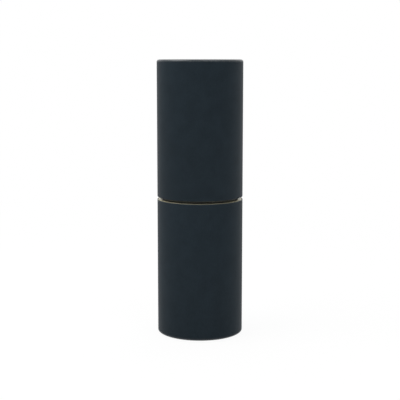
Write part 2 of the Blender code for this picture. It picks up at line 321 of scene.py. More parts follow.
class BalmTubeStage(bpy.types.PropertyGroup):
    """Floor, lamps and camera."""

    floor_colour: colour_setting("Floor", "Colour of the floor", (0.86, 0.86, 0.86))
    left_power: number_setting("Left Lamp", "Watts of the softbox on the left", 0.85, highest=10)
    right_power: number_setting("Right Lamp", "Watts of the softbox on the right", 0.44, highest=10)
    top_power: number_setting("Top Lamp", "Watts of the softbox above and behind", 0.30, highest=10)
    surround: number_setting("Surround", "Strength of the light from behind and above", 1.05, highest=2)
    front: number_setting("Front", "Strength of the light from the camera's side", 0.08, highest=2)
    camera_distance: length_setting("Camera Distance", "How far the camera stands from the axis", 0.2500)
    camera_height: length_setting("Camera Height", "Height of the camera above the floor", 0.0699)
    camera_pitch: angle_setting("Camera Pitch", "How far the camera looks down", 8.07)
    lens: number_setting("Lens", "Focal length, in millimetres, on a 36 mm sensor", 88.1, 20, 200)


def emptied_material(name):
    """A material whose nodes are still to come. One of the same name is emptied and used again."""
    material = bpy.data.materials.get(name) or bpy.data.materials.new(name)
    material.use_nodes = True
    material.node_tree.nodes.clear()
    return material


class Value:
    """A node's output. Used in an expression, it adds Math nodes to its own wiring."""

    def __init__(self, wiring, socket):
        self.wiring = wiring
        self.socket = socket

    def __add__(self, other):
        return self.wiring.maths("ADD", self, other)

    def __radd__(self, other):
        return self.wiring.maths("ADD", other, self)

    def __sub__(self, other):
        return self.wiring.maths("SUBTRACT", self, other)

    def __rsub__(self, other):
        return self.wiring.maths("SUBTRACT", other, self)

    def __mul__(self, other):
        return self.wiring.maths("MULTIPLY", self, other)

    def __truediv__(self, other):
        return self.wiring.maths("DIVIDE", self, other)


class Wiring:
    """Adds nodes to one tree."""

    def __init__(self, tree):
        self.tree = tree

    def add(self, kind, settings=None, sockets=None, output=0):
        """Adds a node of any kind: its settings first, then a value or a link for each socket named."""
        node = self.tree.nodes.new(kind)
        for name, setting in (settings or {}).items():
            setattr(node, name, setting)
        for name, given in (sockets or {}).items():
            self.feed(node.inputs[name], given)
        if not node.outputs:
            return None
        return Value(self, node.outputs[output])

    def feed(self, socket, given):
        """Links an output to a socket, or sets the socket's own value."""
        if isinstance(given, Value):
            self.tree.links.new(given.socket, socket)
        else:
            socket.default_value = given

    def maths(self, operation, *values):
        """A Math node."""
        return self.add("ShaderNodeMath", {"operation": operation}, dict(enumerate(values)))

    def blend(self, share, first, second):
        """Goes from one colour to another as a share goes from 0 to 1."""
        return self.add("ShaderNodeMix", {"data_type": "RGBA"}, {0: share, 6: first, 7: second}, output=2)

    def rise(self, value, low, high):
        """Goes smoothly from 0 to 1 as a value passes from low to high."""
        return self.add(
            "ShaderNodeMapRange",
            {"interpolation_type": "SMOOTHSTEP"},
            {"Value": value, "From Min": low, "From Max": high},
        )


class Finish(Wiring):
    """A material. What is the same all over goes in as uniform values of the shader's own sockets."""

    def __init__(self, name, uniform):
        self.material = emptied_material(name)
        super().__init__(self.material.node_tree)
        surface = self.add("ShaderNodeBsdfPrincipled", None, uniform)
        self.shader = surface.socket.node
        self.add("ShaderNodeOutputMaterial", None, {"Surface": surface})
        self.place = self.add("ShaderNodeTexCoord", output="Object")
        self.x = self.add("ShaderNodeSeparateXYZ", None, {0: self.place}, output=0)
        self.y = Value(self, self.x.socket.node.outputs[1])
        self.z = Value(self, self.x.socket.node.outputs[2])

    def radius(self):
        """Distance from the tube's axis."""
        return self.maths("SQRT", self.x * self.x + self.y * self.y)

    def angle(self):
        """Angle round the tube's axis, from minus to plus half a turn."""
        return self.maths("ARCTAN2", self.y, self.x)

    def grain(self, size, detail=2.0, stretch=(1, 1, 1)):
        """Soft noise of about a given feature size, which a stretch can draw out along an axis."""
        scale = tuple(1 / share for share in stretch)
        place = self.add("ShaderNodeMapping", None, {"Vector": self.place, "Scale": scale})
        return self.add("ShaderNodeTexNoise", None, {"Vector": place, "Scale": 1 / size, "Detail": detail})

    def specks(self, size, spread):
        """Small round spots, 1 at their middles, of which a spread says how far they reach."""
        cells = self.add("ShaderNodeTexVoronoi", None, {"Vector": self.place, "Scale": 1 / size}, "Distance")
        return self.rise(cells, spread, 0.0)

    def relief(self, height, depth, below=None):
        """A bump of a given depth in metres, on top of another."""
        sockets = {"Height": height, "Distance": depth, "Strength": 1.0}
        if below:
            sockets["Normal"] = below
        return self.add("ShaderNodeBump", None, sockets)

    def output(self, colour, roughness, normal):
        """Joins what varies over the surface to the shader."""
        self.feed(self.shader.inputs["Base Color"], colour)
        self.feed(self.shader.inputs["Roughness"], roughness)
        self.feed(self.shader.inputs["Normal"], normal)
        return self.material


def opaque(colour):
    """A colour as the four numbers that a colour socket takes."""
    return (*colour, 1.0)


def scaled(colour, share):
    """A colour made lighter or darker by one factor."""
    return opaque(tuple(share * level for level in colour))


def printed_paper(settings):
    """Matt blue-black print on pale paper, with its fibres, rubbed folds and bare cut edges. The pale
    rubbing on the folds and mouths is partly a painted highlight, and the wider pale edge on the base's
    mouth is partly painted light.
    """
    uniform = {"Specular IOR Level": 0.065, "Coat Roughness": 0.22, "Coat IOR": 1.7}
    finish = Finish("matt_printed_paper", uniform)
    mottle = finish.grain(size=0.0035, detail=3.0)
    fibres = finish.grain(size=0.00022, detail=4.0, stretch=(1, 1, 2.5))
    pores = finish.grain(size=0.00007, detail=2.0)
    shade = finish.rise(mottle * 0.6 + fibres * 0.4, 0.3, 0.7)
    colour = finish.blend(shade, scaled(settings.colour, 0.9), scaled(settings.colour, 1.1))

    at_top = finish.rise(finish.z, CAP_TOP - RUB_END, CAP_TOP - RUB_FULL)
    at_foot = finish.rise(finish.z, RUB_END, RUB_FULL)
    outside = finish.rise(finish.radius(), DISC_RADIUS, TURN_IN_BORE)
    rims = (at_top + at_foot) * outside
    mouths = near_mouths(finish, MOUTH_RUB)
    # Pale rubbed paper on the folds and mouths: real wear in patches, and partly a painted highlight along
    # the folds.
    rubbed_and_highlight = (rims + mouths) * finish.rise(finish.grain(size=0.0004, detail=5.0), 0.54, 0.74)
    on_base = finish.rise(finish.z, CAP_MOUTH, BASE_MOUTH)
    gloss = rims * RIM_GLOSS + mouths * on_base * MOUTH_GLOSS
    finish.feed(finish.shader.inputs["Coat Weight"], gloss)
    # Pale cut paper at both mouths. On the base the band is wider, as painted light on the upward-facing
    # mouth. The cap's downward-facing mouth stays narrow and dark, as in shade.
    bare_and_painted_light = near_mouths(finish, BARE_EDGE) + near_mouths(finish, BARE_AND_PAINTED_LIGHT_BASE_EDGE) * on_base
    bare_and_painted_light = finish.maths("MINIMUM", bare_and_painted_light, 1.0)
    lap_edge = cut_edge(finish, settings) * outside
    core = opaque(settings.core_colour)
    colour = finish.blend(rubbed_and_highlight * 0.16, colour, core)
    bared = 0.06 + finish.rise(finish.grain(size=0.0012, detail=4.0), 0.35, 0.75) * 0.3
    colour = finish.blend(lap_edge * bared, colour, core)
    colour = finish.blend(bare_and_painted_light, colour, core)

    patches = (finish.grain(size=0.006) - 0.5) * 0.07
    roughness = settings.roughness + patches + (fibres - 0.5) * 0.12 + bare_and_painted_light * 0.3
    normal = finish.relief(fibres, depth=0.000006)
    normal = finish.relief(pores, depth=0.000002, below=normal)
    return finish.output(colour, roughness, normal)


def near_mouths(finish, distance):
    """Mask of what lies within a distance of the base's or the cap's mouth."""
    at_base = finish.rise(finish.z, BASE_MOUTH - distance, BASE_MOUTH)
    return at_base * finish.rise(finish.z, CAP_MOUTH + distance, CAP_MOUTH)


def cut_edge(finish, settings):
    """Mask of the lap's cut edge, which stands at one angle on the base and at another on the cap."""
    on_cap = finish.maths("GREATER_THAN", finish.z, (BASE_MOUTH + CAP_MOUTH) / 2)
    edge = settings.base_lap + on_cap * (settings.cap_lap - settings.base_lap)
    away = finish.maths("ABSOLUTE", finish.angle() - edge) * finish.radius()
    return finish.rise(away, 2 * LAP_EDGE_WIDTH, LAP_EDGE_WIDTH)


def cream_board(settings):
    """Uncoated wound board, with fibres, specks, the winding's joint and darker glue lines on cut ends."""
    finish = Finish("wound_board", {"Specular IOR Level": 0.7})
    mottle = finish.grain(size=0.0022, detail=4.0)
    fibres = finish.grain(size=0.00016, detail=4.0, stretch=(1, 1, 0.45))
    fuzz = finish.grain(size=0.00005)
    shade = finish.rise(mottle * 0.55 + fibres * 0.45, 0.32, 0.68)
    colour = finish.blend(shade, scaled(settings.colour, 0.86), scaled(settings.colour, 1.06))
    dark_fibre = opaque(settings.speck_colour)
    specks = finish.specks(0.0009, 0.16) * finish.rise(finish.grain(size=0.0013), 0.48, 0.62)
    colour = finish.blend(specks * 0.55, colour, dark_fibre)

    ply = (BOARD_OUTER - BOARD_BORE) / settings.plies
    radius = finish.radius()
    between = finish.maths("PINGPONG", (radius - BOARD_BORE) / ply, 0.5)
    in_wall = finish.rise(radius, BOARD_BORE + ply / 2, BOARD_BORE + ply)
    in_wall = in_wall * finish.rise(radius, BOARD_OUTER - ply / 2, BOARD_OUTER - ply)
    glue_lines = finish.rise(between, 0.16, 0.06) * in_wall
    colour = finish.blend(glue_lines * 0.45, colour, dark_fibre)

    turns = finish.z / settings.winding_pitch - finish.angle() / FULL_TURN
    joint = finish.maths("PINGPONG", turns, 0.5) * settings.winding_pitch
    seam = finish.rise(joint, 0.00022, 0.00005)
    colour = finish.blend(seam * 0.35, colour, dark_fibre)

    facing_way = finish.add("ShaderNodeNewGeometry", output="Normal")
    upright = finish.add("ShaderNodeSeparateXYZ", None, {0: facing_way}, output="Z")
    cut_end = finish.rise(finish.maths("ABSOLUTE", upright), 0.6, 0.95)
    roughness = 0.8 + (fibres - 0.5) * 0.12 - cut_end * CUT_END_GLOSS
    normal = finish.relief(1.0 - seam, depth=0.00003)
    rough_skin = 1.0 - cut_end * CUT_END_SMOOTHING
    normal = finish.relief(fibres * rough_skin, depth=0.000014, below=normal)
    normal = finish.relief(fuzz * rough_skin, depth=0.000005, below=normal)
    return finish.output(colour, roughness, normal)


def dark_board(settings):
    """Board dyed dark all through, with paler fibres and the fine scuffs that the sliding cap leaves."""
    finish = Finish("dark_dyed_board", {"Specular IOR Level": 0.3})
    fibres = finish.grain(size=0.00016, detail=4.0, stretch=(1, 1, 0.45))
    fuzz = finish.grain(size=0.00005)
    scuffs = finish.rise(finish.grain(size=0.00025, detail=4.0, stretch=(1, 1, 24)), 0.56, 0.74)
    worn = scuffs * finish.rise(finish.radius(), NECK_OUTER - BOARD_EASE, NECK_OUTER)
    pale = scaled(settings.dark_colour, 2.2)
    colour = finish.blend(finish.rise(fibres, 0.35, 0.7), opaque(settings.dark_colour), pale)
    colour = finish.blend(worn * 0.06, colour, opaque(settings.colour))
    roughness = 0.72 + (fibres - 0.5) * 0.14 - worn * 0.12
    normal = finish.relief(fibres, depth=0.000012)
    normal = finish.relief(fuzz, depth=0.000005, below=normal)
    return finish.output(colour, roughness, normal)


def white_moulding(settings):
    """Natural satin plastic, with a spark-worn mould's fine texture and slight flow marks."""
    uniform = {
        "Subsurface Weight": 0.25,
        "Subsurface Radius": (1.0, 0.9, 0.75),
        "Subsurface Scale": 0.0008,
    }
    finish = Finish("satin_moulding", uniform)
    flow = finish.grain(size=0.004, stretch=(1, 1, 4))
    texture = finish.grain(size=0.00009, detail=3.0)
    warm = scaled(settings.colour, 0.95)
    colour = finish.blend(finish.rise(flow, 0.35, 0.65), warm, opaque(settings.colour))
    roughness = settings.roughness + (texture - 0.5) * 0.14 + (flow - 0.5) * 0.08
    normal = finish.relief(texture, depth=0.000004)
    normal = finish.relief(flow, depth=0.00001, below=normal)
    return finish.output(colour, roughness, normal)


def balm_wax(settings):
    """Cream wax: translucent, a little frosted, with cooling rings on its dome and rubbed streaks."""
    uniform = {
        "Subsurface Weight": 0.7,
        "Subsurface Radius": (1.0, 0.72, 0.42),
        "Subsurface Scale": 0.0016,
    }
    finish = Finish("cast_balm", uniform)
    cloud = finish.grain(size=0.0024, detail=3.0)
    frost = finish.grain(size=0.00014, detail=4.0)
    streaks = finish.grain(size=0.00022, detail=3.0, stretch=(1, 1, 30))
    deep = [share * level for share, level in zip(BALM_DEEPENING, settings.colour)]
    colour = finish.blend(finish.rise(cloud, 0.34, 0.66), opaque(deep), opaque(settings.colour))
    bloom = finish.rise(frost, 0.55, 0.72)
    colour = finish.blend(bloom * 0.22, colour, opaque(BLOOM_COLOUR))
    rings = finish.maths("SINE", (finish.radius() + cloud * RING_WANDER) * (FULL_TURN / RING_SPACING))
    roughness = settings.roughness + bloom * 0.16 + (cloud - 0.5) * 0.12
    normal = finish.relief(rings, depth=0.000004)
    normal = finish.relief(streaks, depth=0.000012, below=normal)
    normal = finish.relief(frost, depth=0.000006, below=normal)
    return finish.output(colour, roughness, normal)


def placed(name, data):
    """Puts an object into the scene, in place of an earlier one of the same name."""
    old = bpy.data.objects.get(name)
    if old:
        bpy.data.objects.remove(old, do_unlink=True)
    made = bpy.data.objects.new(name, data)
    bpy.context.scene.collection.objects.link(made)
    return made


def made_object(name, shape, material=None):
    """Turns a bmesh into an object with smooth round faces and crisp corners."""
    mesh = bpy.data.meshes.new(name)
    shape.to_mesh(mesh)
    shape.free()
    if not mesh.polygons:
        raise RuntimeError(f"{name} came out empty")
    if material:
        mesh.materials.append(material)
    mesh.shade_smooth()
    mesh.set_sharp_from_angle(angle=SHARP_ANGLE)
    return placed(name, mesh)


def stand_for(piece, node):
    """Lets a piece move with, and be shown in place of, one frame piece."""
    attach(piece, frame["nodes"][node]["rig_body"])
    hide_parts(node)
    return piece


def arc(centre, radii, start, end, steps):
    """Points of an elliptical arc about a centre, from one angle in degrees to another."""
    across, up = centre
    wide, high = radii
    turns = [math.radians(start + (end - start) * step / steps) for step in range(steps + 1)]
    return [(across + wide * math.cos(turn), up + high * math.sin(turn)) for turn in turns]


def foot_corner(radius, height, ease):
    """Points that round an outer corner at a section's foot."""
    return arc((radius - ease, height + ease), (ease, ease), 270, 360, EDGE_STEPS)


def top_corner(radius, height, ease):
    """Points that round an outer corner at a section's top."""
    return arc((radius - ease, height - ease), (ease, ease), 0, 90, EDGE_STEPS)


def spin_round(shape, points, edges, steps):
    """Spins a section once about the tube's axis and joins its ends."""
    bmesh.ops.spin(
        shape,
        geom=points + edges,
        cent=(0, 0, 0),
        axis=(0, 0, 1),
        angle=FULL_TURN,
        steps=steps,
        use_merge=True,
    )
    bmesh.ops.remove_doubles(shape, verts=shape.verts, dist=WELD)


def spun(outline):
    """Spins an outline of (radius, height) points about the tube's axis into a closed bmesh."""
    shape = bmesh.new()
    points = [shape.verts.new((radius, 0, height)) for radius, height in outline]
    edges = [shape.edges.new(pair) for pair in zip(points, points[1:])]
    if outline[0][0] > 0:
        edges.append(shape.edges.new((points[-1], points[0])))
    spin_round(shape, points, edges, ROUND_STEPS)
    bmesh.ops.recalc_face_normals(shape, faces=shape.faces)
    return shape


def turn_round(shape, angle, axis):
    """Turns a whole bmesh about an axis through the origin."""
    bmesh.ops.rotate(shape, verts=shape.verts, cent=(0, 0, 0), matrix=Matrix.Rotation(angle, 3, axis))


def carve(solid, helpers, operation="DIFFERENCE"):
    """Cuts helpers out of a solid, or joins them on, and removes them."""
    for helper in helpers:
        boolean = solid.modifiers.new(helper.name, "BOOLEAN")
        boolean.operation = operation
        boolean.object = helper
        boolean.solver = "EXACT"
    depsgraph = bpy.context.evaluated_depsgraph_get()
    carved = bpy.data.meshes.new_from_object(solid.evaluated_get(depsgraph))
    solid.modifiers.clear()
    plain = solid.data
    solid.data = carved
    bpy.data.meshes.remove(plain)
    carved.name = solid.name
    for helper in helpers:
        bpy.data.objects.remove(helper, do_unlink=True)
    carved.shade_smooth()
    carved.set_sharp_from_angle(angle=SHARP_ANGLE)


def wrap_outline(thickness):
    """Points round a wrap's section: those at its mouth, those over the fold and inside, and those back.

    Each is (radius, height, pleat share). Heights run from the mouth for the first list and from the fold's
    crest for the others, towards the fold.
    """
    fold = INNER_FOLD + thickness
    outer_fold = (OUTER_FOLD_ACROSS + thickness, OUTER_FOLD_DOWN + thickness)
    crest = WRAP_OUTER - WRAP_BORE - thickness
    outside = (WRAP_BORE - OUTER_FOLD_ACROSS, -(crest + outer_fold[1]))
    inside = (GLUED_INSIDE + INNER_FOLD, -(crest + fold))
    skin = [(radius, depth, 0.0) for radius, depth in arc(outside, outer_fold, 0, 90, FOLD_STEPS)]
    turned_in = arc(inside, (fold, fold), 90, 180, FOLD_STEPS)
    skin += [(*point, (index / FOLD_STEPS) ** 2) for index, point in enumerate(turned_in)]
    leg = GLUED_INSIDE - thickness
    skin += [(leg, -TURN_IN_DEPTH * share, 1.0) for share in (0.4, 0.6, 0.8, 1.0)]
    lining = [(GLUED_INSIDE, -TURN_IN_DEPTH, 0.0)]
    lining += [(*point, 0.0) for point in arc(inside, (INNER_FOLD, INNER_FOLD), 180, 90, EDGE_STEPS)]
    slack_fold = (OUTER_FOLD_ACROSS, OUTER_FOLD_DOWN)
    lining += [(*point, 0.0) for point in arc(outside, slack_fold, 90, 0, EDGE_STEPS)]
    burnished = foot_corner(WRAP_BORE + thickness, 0.0, MOUTH_EASE)
    mouth = [(WRAP_BORE, 0.0, 0.0)] + [(*point, 0.0) for point in burnished]
    return mouth, skin, lining


def pleat(angle):
    """Depth of the pleats at an angle, from 0 to 1, with spacing that wanders round the rim."""
    wave = PLEATS * angle + PLEAT_WANDER * math.sin(PLEAT_WANDERINGS * angle)
    return (0.5 + 0.5 * math.sin(wave)) ** 2


def lap_share(angle, edge, settings):
    """How much of a second ply lies at an angle: all of it on the lap, with a cut edge and a soft climb."""
    tolerance = LAP_EDGE_WIDTH / WRAP_OUTER / 4
    past = (angle - edge + tolerance) % FULL_TURN
    width = settings.lap_width / WRAP_OUTER
    climb = settings.lap_climb / WRAP_OUTER
    if past <= width:
        return 1.0
    if past >= width + climb:
        return 0.0
    share = (past - width) / climb
    return 1.0 - share * share * (3 - 2 * share)


def wrap(name, mouth_height, fold_height, lap_edge, settings, material):
    """Printed paper round a board tube: a lap down the back, a turned-over rim and a pleated inside leg."""
    upward = 1 if fold_height > mouth_height else -1
    double = WRAP_OUTER - WRAP_BORE
    sections = []
    for thickness in (settings.thickness, double):
        mouth, skin, lining = wrap_outline(thickness)
        points = [(radius, mouth_height + upward * rise, share) for radius, rise, share in mouth]
        points += [(radius, fold_height + upward * depth, share) for radius, depth, share in skin + lining]
        sections.append(points)
    shape = bmesh.new()
    extra_ply = shape.verts.layers.float_vector.new("extra_ply")
    points = []
    for (radius, height, share), (far_radius, far_height, _) in zip(*sections):
        corner = shape.verts.new((radius, 0, height))
        corner[extra_ply] = (far_radius - radius, share, far_height - height)
        points.append(corner)
    edges = [shape.edges.new(pair) for pair in zip(points, points[1:] + points[:1])]
    spin_round(shape, points, edges, WRAP_STEPS)
    crisp_lap_edge(shape, lap_edge)
    for corner in shape.verts:
        angle = math.atan2(corner.co.y, corner.co.x)
        ply_out, pleated, ply_up = corner[extra_ply]
        ply = lap_share(angle, lap_edge, settings)
        gather = settings.pleat_depth * pleated * pleat(angle) * (1 - ply)
        outwards = Vector((math.cos(angle), math.sin(angle), 0))
        corner.co += outwards * (ply_out * ply + gather)
        corner.co.z += ply_up * ply
    bmesh.ops.recalc_face_normals(shape, faces=shape.faces)
    shape.verts.layers.float_vector.remove(extra_ply)
    return made_object(name, shape, material)


def crisp_lap_edge(shape, lap_edge):
    """Adds two close lines down the paper, between which the lap's cut edge drops."""
    outwards = Vector((math.cos(lap_edge), math.sin(lap_edge), 0))
    for turn in (0.0, -LAP_EDGE_WIDTH / WRAP_OUTER):
        normal = Vector((-math.sin(lap_edge + turn), math.cos(lap_edge + turn), 0))
        near = [face for face in shape.faces if face.calc_center_median().dot(outwards) > 0]
        parts = set(near)
        for face in near:
            parts.update(face.edges)
            parts.update(face.verts)
        bmesh.ops.bisect_plane(
            shape,
            geom=list(parts),
            dist=LAP_EDGE_WIDTH / 8,
            plane_co=(0, 0, 0),
            plane_no=normal,
        )


def mouth_plies(plies, outer, inner, height, inward):
    """Points across a board tube's cut end, from outside to inside, with a shallow groove between plies."""
    ply = (outer - inner) / plies
    points = []
    for index in range(1, plies):
        joint = outer - index * ply
        points.append((joint + PLY_GROOVE_WIDTH / 2, height))
        points.append((joint, height + inward * PLY_GROOVE_DEPTH))
        points.append((joint - PLY_GROOVE_WIDTH / 2, height))
    return points


def board_tube(name, mouth_height, end_height, settings, material):
    """Board tube under a wrap, with plies showing at its mouth and the far rim cut back under the folds."""
    inward = 1 if end_height > mouth_height else -1
    mouth_height += inward * BOARD_SET_BACK
    outline = [(BOARD_OUTER, mouth_height)]
    outline += mouth_plies(settings.plies, BOARD_OUTER, BOARD_BORE, mouth_height, inward)
    start, finish = (270, 180) if inward > 0 else (90, 180)
    centre = (BOARD_BORE + BOARD_EASE, mouth_height + inward * BOARD_EASE)
    outline += arc(centre, (BOARD_EASE, BOARD_EASE), start, finish, EDGE_STEPS)
    cut_back = end_height - inward * INNER_FOLD
    outline += [
        (BOARD_BORE, cut_back),
        (BOARD_BORE + INNER_FOLD, end_height),
        (BOARD_OUTER - INNER_FOLD, end_height),
        (BOARD_OUTER, cut_back),
    ]
    return made_object(name, spun(outline), material)


def liner_tube(settings, material):
    """Short board tube inside the cap, whose foot lands on the neck's lip and shows its plies."""
    low, high = foot("cap_liner"), top("cap_liner")
    ease = BOARD_EASE
    outline = [(GLUED_INSIDE - ease / 2, low)]
    outline += mouth_plies(settings.plies - 1, GLUED_INSIDE, LINER_BORE, low, 1)
    outline += arc((LINER_BORE + ease, low + ease), (ease, ease), 270, 180, EDGE_STEPS)
    outline += [(LINER_BORE, high), (GLUED_INSIDE, high), (GLUED_INSIDE, low + ease / 2)]
    return made_object("liner_board", spun(outline), material)


def eased_tube(name, node, inner, outer, ease, material):
    """Tube, or disc where nothing is left open inside, with both outer corners eased."""
    low, high = foot(node), top(node)
    outline = [(inner, low)]
    outline += foot_corner(outer, low, ease)
    outline += top_corner(outer, high, ease)
    outline += [(inner, high)]
    return made_object(name, spun(outline), material)


def facing(name, node, shown_up, material):
    """Printed paper disc on a closed end, dished a little where the glue has drawn it in."""
    low, high = foot(node), top(node)
    ease = FACING_EASE
    shares = [index / FACING_RINGS for index in range(FACING_RINGS)]
    flat = DISC_RADIUS - 2 * ease
    dish = [(flat * share, FACING_DISH * (1 - share * share)) for share in shares]
    if shown_up:
        outline = [(0, low), (DISC_RADIUS, low)]
        outline += top_corner(DISC_RADIUS, high, ease)
        outline += [(radius, high - drop) for radius, drop in reversed(dish)]
    else:
        outline = [(radius, low + drop) for radius, drop in dish]
        outline += foot_corner(DISC_RADIUS, low, ease)
        outline += [(DISC_RADIUS, high), (0, high)]
    return made_object(name, spun(outline), material)


def bead_outline(wall, side_gap, end_gap):
    """The snap bead from bottom to top or, given gaps, the recess that it runs in."""
    middle = CAM_FOOT + BEAD_RISE
    half_root = BEAD_ROOT / 2 + end_gap
    half_crest = BEAD_CREST / 2 + end_gap
    crest = DRIVE_OUTER + BEAD_PROUD + side_gap
    return [
        (wall, middle - half_root),
        (crest, middle - half_crest),
        (crest, middle + half_crest),
        (wall, middle + half_root),
    ]


def groove_cutter(index):
    """Cutter for one helical groove, swept from below the cam to just past the raised lug."""
    floor = CAM_BORE + GROOVE_DEPTH
    mean_radius = (CAM_BORE + floor) / 2
    lug_room = LUG_RADIUS + LUG_GAP
    half_height = lug_room * math.hypot(1, GROOVE_LEAD / (FULL_TURN * mean_radius))
    turn_step = FULL_TURN / GROOVE_STEPS
    rise_step = GROOVE_LEAD / GROOVE_STEPS
    half_step = 0.5
    steps_below = math.ceil((LOW_LUGS - CAM_FOOT + half_height + OVERRUN) / rise_step) + half_step
    steps_above = math.ceil(LIFT / rise_step + lug_room / mean_radius / turn_step) + half_step
    start = LOW_LUGS - steps_below * rise_step
    corners = [
        (CAM_BORE - OVERRUN, start - half_height),
        (floor, start - half_height),
        (floor, start + half_height),
        (CAM_BORE - OVERRUN, start + half_height),
    ]
    shape = bmesh.new()
    section = shape.faces.new([shape.verts.new((radius, 0, height)) for radius, height in corners])
    bmesh.ops.spin(
        shape,
        geom=[section],
        cent=(0, 0, 0),
        axis=(0, 0, -1),
        dvec=(0, 0, rise_step),
        angle=(steps_below + steps_above) * turn_step,
        steps=round(steps_below + steps_above),
    )
    turn_round(shape, index * math.pi + steps_below * turn_step, "Z")
    bmesh.ops.recalc_face_normals(shape, faces=shape.faces)
    return made_object(f"groove_{index + 1}", shape)


def cam_moulding(material):
    """Lift cam: a grooved sleeve with a rounded lip, which is what the neck shows of it."""
    lip_foot = NECK_TOP - LIP_THICKNESS
    rounding = (LIP_ROUND, LIP_ROUND)
    outline = [(CAM_BORE, CAM_FOOT)]
    outline += foot_corner(CAM_OUTER, CAM_FOOT, SOFT_EDGE)
    outline += [(CAM_OUTER, lip_foot), (LIP_RADIUS, lip_foot)]
    outline += arc((LIP_RADIUS - LIP_ROUND, NECK_TOP - LIP_ROUND), rounding, 0, 90, FOLD_STEPS)
    outline += arc((DRIVE_BORE + LIP_ROUND, NECK_TOP - LIP_ROUND), rounding, 90, 180, FOLD_STEPS)
    outline += [(DRIVE_BORE, lip_foot), (CAM_BORE, lip_foot)]
    outline += reversed(bead_outline(CAM_BORE, SLIDE_GAP, AXIAL_GAP))
    cam = made_object("cam_moulding", spun(outline), material)
    carve(cam, [groove_cutter(index) for index in range(2)])
    return cam


def slot_cutter(index):
    """Cutter for one straight slot with round ends."""
    half_width = LUG_RADIUS + LUG_GAP
    inside = DRIVE_BORE - OVERRUN / 2
    outline = arc((0, LOW_LUGS + LIFT), (half_width, half_width), 0, 180, SLOT_END_STEPS)
    outline += arc((0, LOW_LUGS), (half_width, half_width), 180, 360, SLOT_END_STEPS)
    shape = bmesh.new()
    end = shape.faces.new([shape.verts.new((inside, across, height)) for across, height in outline])
    grown = bmesh.ops.extrude_face_region(shape, geom=[end])
    moved = [item for item in grown["geom"] if isinstance(item, bmesh.types.BMVert)]
    bmesh.ops.translate(shape, verts=moved, vec=(DRIVE_WALL + OVERRUN, 0, 0))
    turn_round(shape, index * math.pi, "Z")
    bmesh.ops.recalc_face_normals(shape, faces=shape.faces)
    return made_object(f"slot_{index + 1}", shape)


def drive_moulding(material):
    """Slotted sleeve with its flange and snap bead."""
    low, high = foot("drive_sleeve"), top("drive_sleeve")
    flange_top = CAM_FOOT - AXIAL_GAP
    flange_foot = flange_top - FLANGE_THICKNESS
    outline = [(DRIVE_BORE, low), (DRIVE_OUTER, low), (DRIVE_OUTER, flange_foot)]
    outline += foot_corner(CAM_OUTER, flange_foot, SOFT_EDGE)
    outline += top_corner(CAM_OUTER, flange_top, SOFT_EDGE)
    outline += [(DRIVE_OUTER, flange_top)]
    outline += bead_outline(DRIVE_OUTER, 0, 0)
    outline += top_corner(DRIVE_OUTER, high, SOFT_EDGE)
    outline += [(DRIVE_BORE, high)]
    drive = made_object("drive_moulding", spun(outline), material)
    carve(drive, [slot_cutter(index) for index in range(2)])
    return drive


def plug_moulding(material):
    """Plug in the foot of the base: a skirt, a web and a boss."""
    low, boss_top = foot("base_plug"), top("base_plug")
    skirt_bore = GLUED_INSIDE - PLUG_WALL
    boss_outer = DRIVE_BORE - GLUE_GAP
    boss_bore = boss_outer - PLUG_WALL
    web_foot = low + PLUG_FOOT
    web_top = web_foot + PLUG_WEB
    skirt_top = web_top + PLUG_SKIRT_ABOVE_WEB
    outline = [
        (0, boss_top - PLUG_WALL),
        (boss_bore, boss_top - PLUG_WALL),
        (boss_bore, web_foot),
        (skirt_bore, web_foot),
        (skirt_bore, low),
    ]
    outline += foot_corner(GLUED_INSIDE, low, SOFT_EDGE)
    outline += top_corner(GLUED_INSIDE, skirt_top, SOFT_EDGE)
    outline += [(skirt_bore, skirt_top), (skirt_bore, web_top), (boss_outer, web_top)]
    outline += top_corner(boss_outer, boss_top, SOFT_EDGE)
    outline += [(0, boss_top)]
    return made_object("plug_moulding", spun(outline), material)


def lug(index):
    """Round lug on the cup's wall, with a chamfered tip."""
    root = DRIVE_BORE - SLIDE_GAP - CUP_WALL / 2
    shape = bmesh.new()
    bmesh.ops.create_cone(
        shape,
        cap_ends=True,
        segments=LUG_SIDES,
        radius1=LUG_RADIUS,
        radius2=LUG_RADIUS,
        depth=LUG_TIP - root,
    )
    tip = [edge for edge in shape.edges if all(corner.co.z > 0 for corner in edge.verts)]
    bmesh.ops.bevel(
        shape,
        geom=tip,
        affect="EDGES",
        offset=LUG_CHAMFER,
        segments=EDGE_STEPS,
        profile=0.5,
        material=-1,
    )
    turn_round(shape, QUARTER_TURN, "Y")
    bmesh.ops.translate(shape, verts=shape.verts, vec=((root + LUG_TIP) / 2, 0, LOW_LUGS))
    turn_round(shape, index * math.pi, "Z")
    return made_object(f"lug_{index + 1}", shape)


def cup_moulding(material):
    """Open cup under the balm, with its two lugs."""
    outer = DRIVE_BORE - SLIDE_GAP
    inner = outer - CUP_WALL
    outline = [(0, CUP_FOOT)]
    outline += foot_corner(outer, CUP_FOOT, SOFT_EDGE)
    outline += top_corner(outer, CUP_TOP, SOFT_EDGE)
    outline += [(inner, CUP_TOP), (inner, CUP_FOOT + CUP_FLOOR), (0, CUP_FOOT + CUP_FLOOR)]
    cup = made_object("cup_moulding", spun(outline), material)
    carve(cup, [lug(index) for index in range(2)], "UNION")
    return cup


